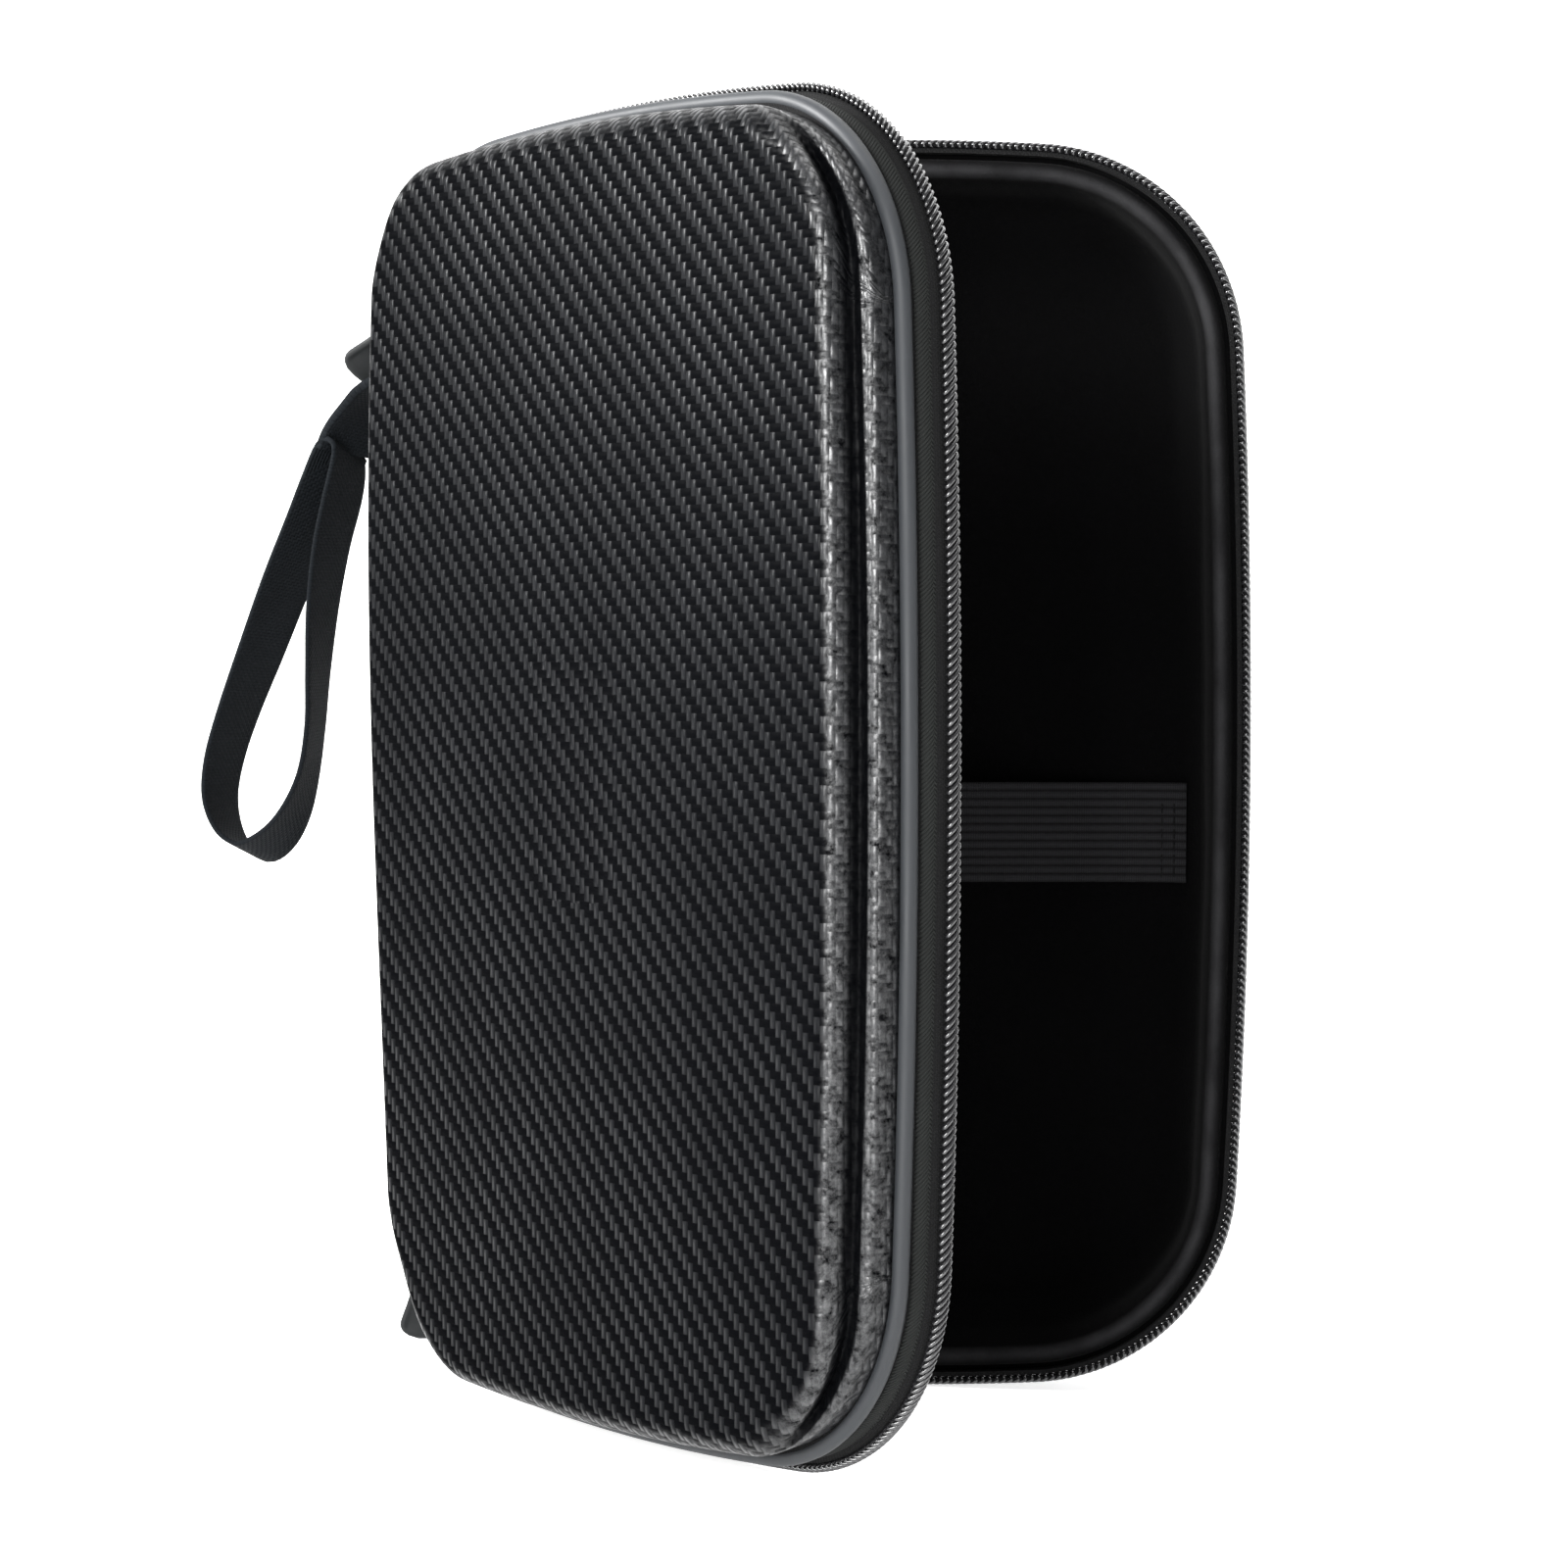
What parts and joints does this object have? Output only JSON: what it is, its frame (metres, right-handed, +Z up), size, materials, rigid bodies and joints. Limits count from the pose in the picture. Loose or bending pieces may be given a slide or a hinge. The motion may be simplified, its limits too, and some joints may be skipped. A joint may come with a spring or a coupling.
{
  "type": "table tennis paddle case",
  "caption": "Hard zip case for a table tennis paddle: two moulded half trays on a soft spine, with a two-way zip, a wrist strap and an inside elastic band.",
  "frame": {"origin": "bottom centre of the whole object's box, with the case standing on its short end and the lid part open", "axes": "+Z up along the case's height and its hinge line; +Y out of the back half's outer face; +X along the back half's width, away from the spine"},
  "size_m": [0.2633, 0.174, 0.2987],
  "materials": {
    "skin": "embossed synthetic skin, satin",
    "foam": "moulded foam, matt",
    "lining": "short velvet pile",
    "piping": "smooth satin cord",
    "tape": "woven zip tape",
    "coil": "glossy moulded coil teeth",
    "elastic": "ribbed elastic, matt",
    "metal": "black coated metal, satin",
    "tab": "moulded soft rubber, satin",
    "webbing": "flat woven webbing"
  },
  "bodies": {
    "back": {"back_shell": "foam", "back_skin": "skin", "back_lining": "lining", "back_piping": "piping", "back_zip_tape": "tape", "back_zip_coil": "coil", "elastic_band": "elastic", "spine_cover": "skin"},
    "lid": {"lid_shell": "foam", "lid_skin": "skin", "lid_lining": "lining", "lid_piping": "piping", "lid_zip_tape": "tape", "lid_zip_coil": "coil"},
    "zip_ends": {"zip_end_top": "tape", "zip_end_bottom": "tape", "strap_anchor": "skin", "strap_tail": "webbing"},
    "top_slider": {"top_slider": "metal"},
    "top_pull": {"top_pull_link": "metal", "top_pull_tab": "tab"},
    "bottom_slider": {"bottom_slider": "metal"},
    "bottom_pull": {"bottom_pull_link": "metal", "bottom_pull_tab": "tab"},
    "wrist_strap": {"strap_loop": "webbing"}
  },
  "joints": [
    {"name": "lid_hinge", "type": "hinge", "parent": "back", "child": "lid", "pos_m": [-0.0741, 0.0589, 0.15], "axis": [0, 0, -1], "range_deg": [-41, 139], "deforming": ["spine_cover"]},
    {"name": "zip_plane", "type": "hinge", "parent": "back", "child": "zip_ends", "pos_m": [-0.0741, 0.0589, 0.15], "axis": [0, 0, -1], "range_deg": [-20.5, 69.5]},
    {"name": "top_slider_travel", "type": "hinge", "parent": "zip_ends", "child": "top_slider", "pos_m": [-0.01752, 0.03775, 0.24564], "axis": [0.3502, 0.9367, 0], "range_deg": [0, 62]},
    {"name": "bottom_slider_travel", "type": "hinge", "parent": "zip_ends", "child": "bottom_slider", "pos_m": [-0.01752, 0.03775, 0.05304], "axis": [-0.3502, -0.9367, 0], "range_deg": [0, 62]},
    {"name": "top_pull_swing", "type": "hinge", "parent": "top_slider", "child": "top_pull", "pos_m": [-0.0667, 0.05613, 0.2627], "axis": [0.3502, 0.9367, 0], "range_deg": [-6, 100]},
    {"name": "bottom_pull_swing", "type": "hinge", "parent": "bottom_slider", "child": "bottom_pull", "pos_m": [-0.0667, 0.05613, 0.03598], "axis": [0.3502, 0.9367, 0], "range_deg": [-22, 123]},
    {"name": "strap_swing", "type": "hinge", "parent": "zip_ends", "child": "wrist_strap", "pos_m": [-0.09171, 0.06548, 0.227], "axis": [0.3502, 0.9367, 0], "range_deg": [-22, 85]}
  ],
  "couplings": [
    {"joint": "zip_plane", "follows": "lid_hinge", "ratio": 0.5}
  ]
}
